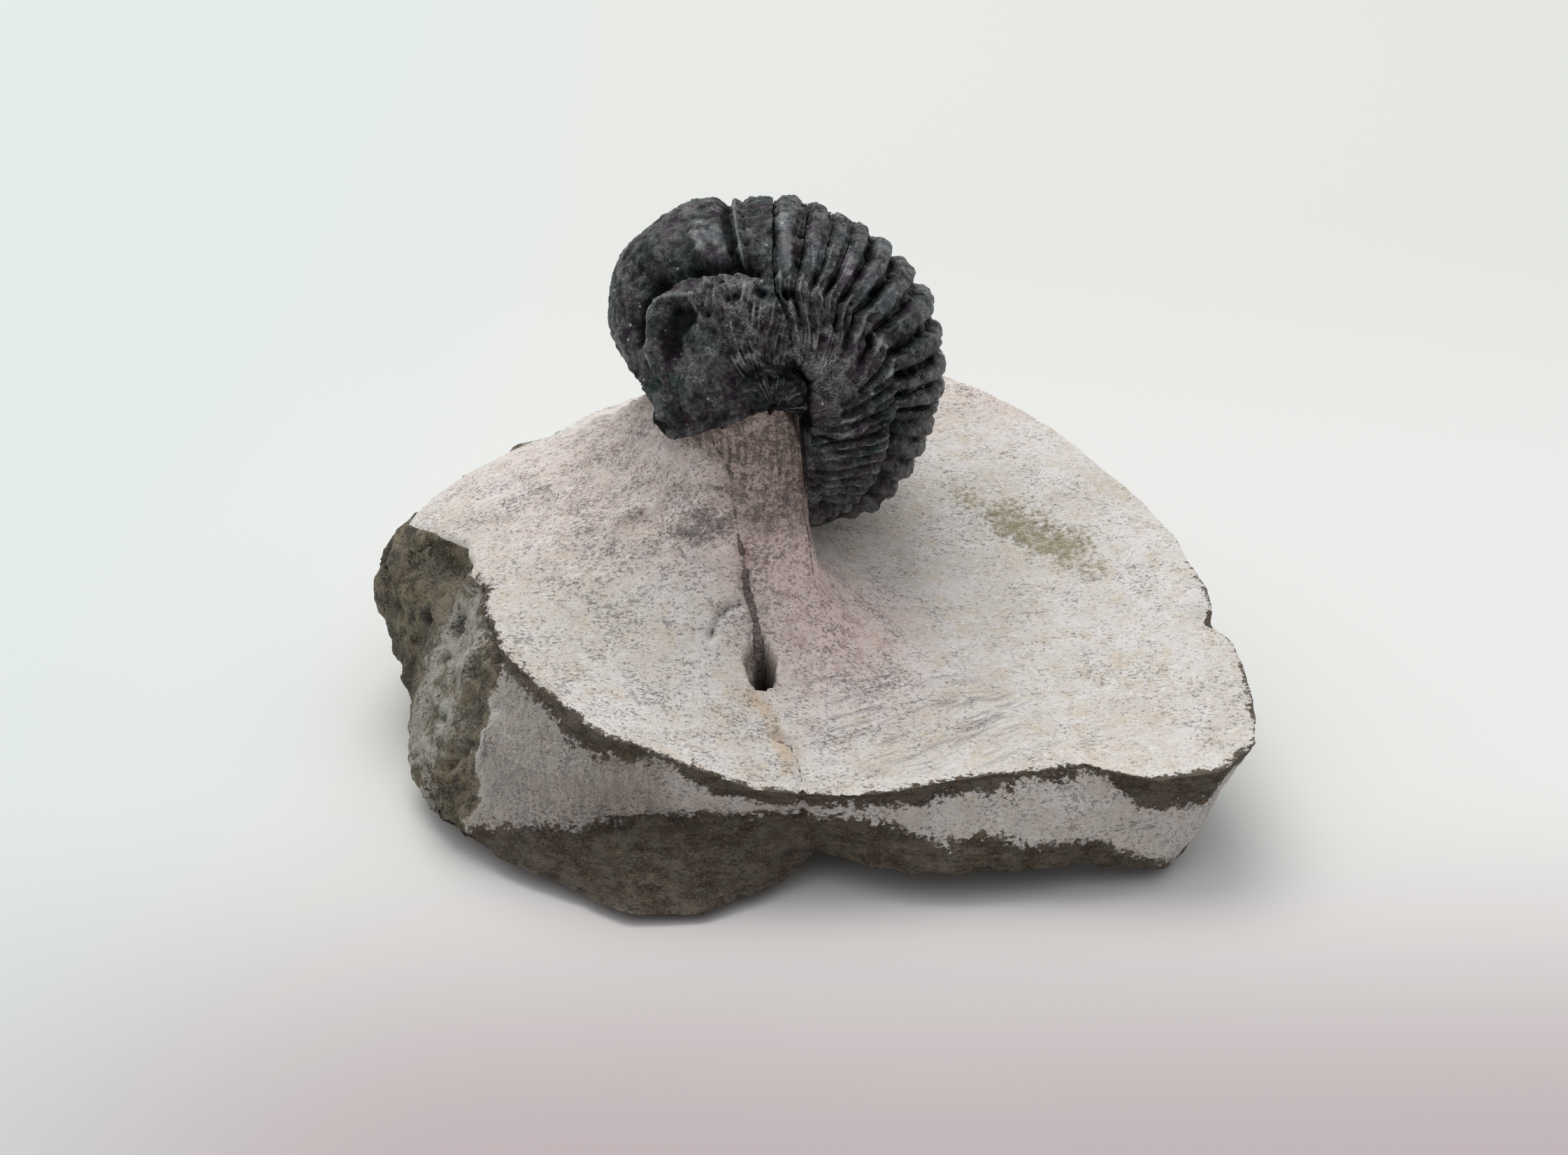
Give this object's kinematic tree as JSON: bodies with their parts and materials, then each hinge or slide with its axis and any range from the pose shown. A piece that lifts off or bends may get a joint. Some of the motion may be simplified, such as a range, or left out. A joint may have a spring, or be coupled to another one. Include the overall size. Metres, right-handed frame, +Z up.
{
  "type": "enrolled trilobite fossil on limestone matrix",
  "caption": "Dark rolled-up trilobite with ribbed shell, freed from its pale limestone and left standing on a dished block with a pedestal, as a display fossil",
  "frame": {"origin": "middle of the block's footprint box, on the surface it rests on", "axes": "+Z up, +X to the right along the block's longest side, +Y away from the side with the pit, so the trilobite's left cheek faces -Y"},
  "size_m": [0.031, 0.0262, 0.0194],
  "materials": {
    "limestone": "matt abraded limestone, pale with grey specks, brown weathered crust on the rough sides",
    "fossil_shell": "near-black calcite shell, finely granular with a dull sheen"
  },
  "bodies": {
    "root": {"matrix": "limestone", "cephalon": "fossil_shell", "thoracic_segment_01": "fossil_shell", "thoracic_segment_02": "fossil_shell", "thoracic_segment_03": "fossil_shell", "thoracic_segment_04": "fossil_shell", "thoracic_segment_05": "fossil_shell", "thoracic_segment_06": "fossil_shell", "thoracic_segment_07": "fossil_shell", "thoracic_segment_08": "fossil_shell", "thoracic_segment_09": "fossil_shell", "thoracic_segment_10": "fossil_shell", "pygidium": "fossil_shell"}
  },
  "joints": []
}
